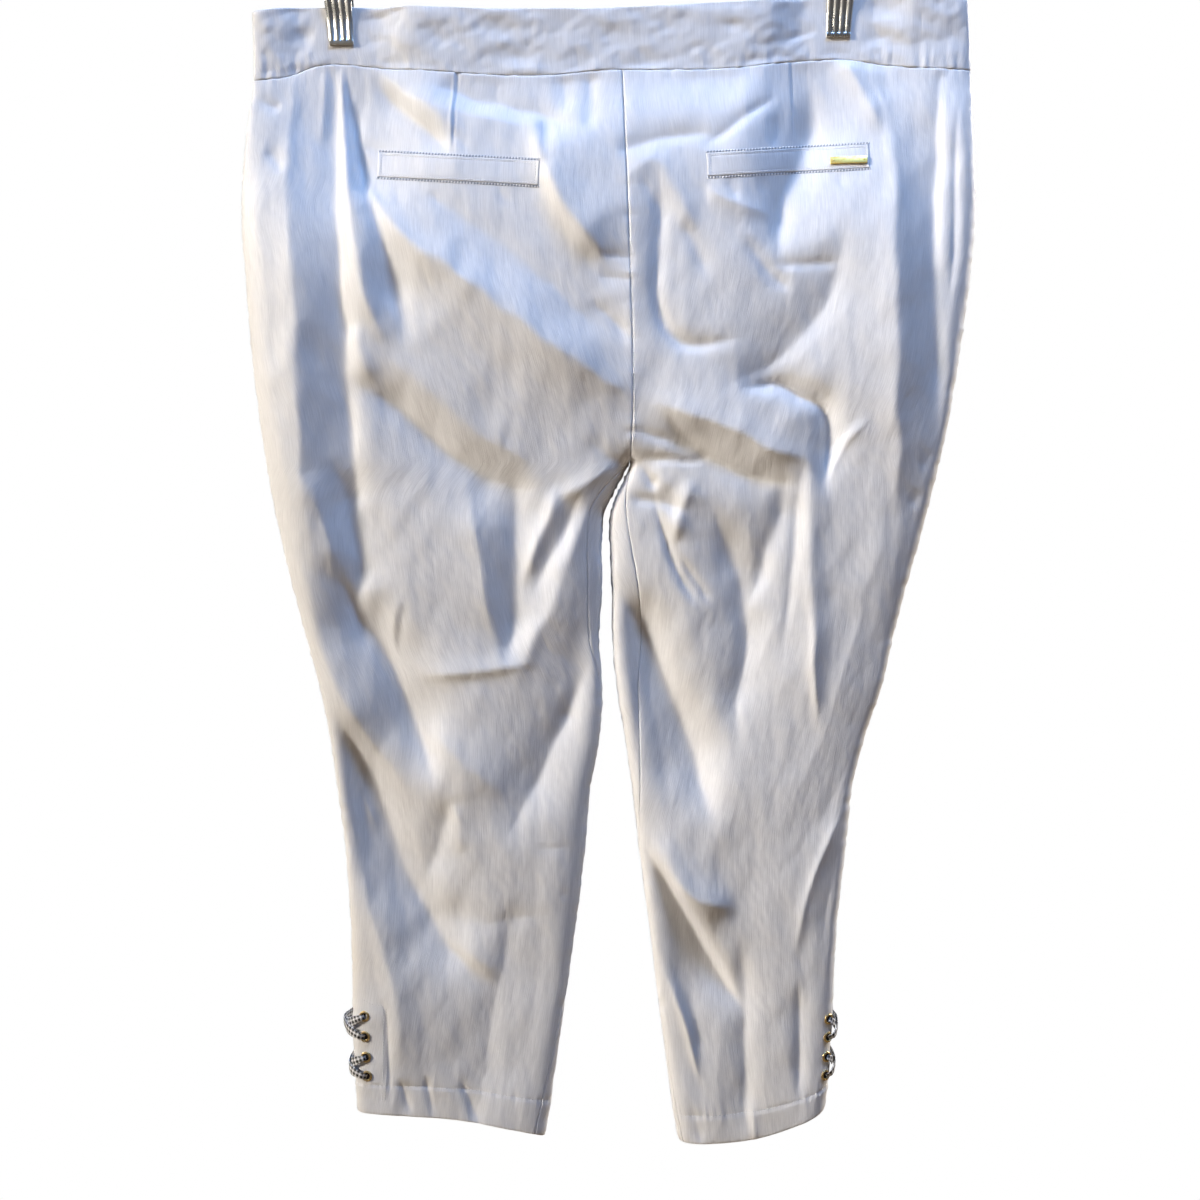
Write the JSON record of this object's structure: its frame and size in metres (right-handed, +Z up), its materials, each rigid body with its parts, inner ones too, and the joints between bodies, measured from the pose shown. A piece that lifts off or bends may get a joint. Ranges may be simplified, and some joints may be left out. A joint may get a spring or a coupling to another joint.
{
  "type": "capri trousers on a clip hanger",
  "caption": "White pull-on capri trousers with a wide waistband, back welt pockets and laced side trims at the hems, hanging by the waistband from a clip hanger.",
  "frame": {"origin": "the inside top of the hanger's hook, where a rail carries the hanger", "axes": "+Z up; the trousers' back faces -Y and their front +Y; +X is to the right seen from behind"},
  "size_m": [0.596, 0.0767, 1.0402],
  "materials": {
    "cotton": "white stretch cotton sateen with a fine upright slub and a soft sheen",
    "gingham": "narrow woven ribbon in a small black and white gingham check",
    "brass": "pale gold metal, softly polished and a little aged",
    "chrome": "bright plated steel with a slightly brushed look"
  },
  "bodies": {
    "root": {"back_left": "cotton", "back_right": "cotton", "front_left": "cotton", "front_right": "cotton", "waistband_back_left": "cotton", "waistband_back_right": "cotton", "waistband_front_left": "cotton", "waistband_front_right": "cotton", "welt_left": "cotton", "welt_right": "cotton", "welt_plate": "brass", "eyelet_left_back_1": "brass", "eyelet_left_back_2": "brass", "eyelet_left_back_3": "brass", "eyelet_left_back_4": "brass", "eyelet_left_front_1": "brass", "eyelet_left_front_2": "brass", "eyelet_left_front_3": "brass", "eyelet_left_front_4": "brass", "eyelet_right_back_1": "brass", "eyelet_right_back_2": "brass", "eyelet_right_back_3": "brass", "eyelet_right_back_4": "brass", "eyelet_right_front_1": "brass", "eyelet_right_front_2": "brass", "eyelet_right_front_3": "brass", "eyelet_right_front_4": "brass", "ribbon_left_1a": "gingham", "ribbon_left_1b": "gingham", "ribbon_left_3a": "gingham", "ribbon_left_3b": "gingham", "ribbon_right_1a": "gingham", "ribbon_right_1b": "gingham", "ribbon_right_3a": "gingham", "ribbon_right_3b": "gingham", "hanger_bar": "chrome", "hanger_collar": "chrome", "hanger_hook": "chrome", "clip_left_back": "chrome", "clip_left_front": "chrome", "clip_left_spring": "chrome", "clip_right_back": "chrome", "clip_right_front": "chrome", "clip_right_spring": "chrome"}
  },
  "joints": []
}
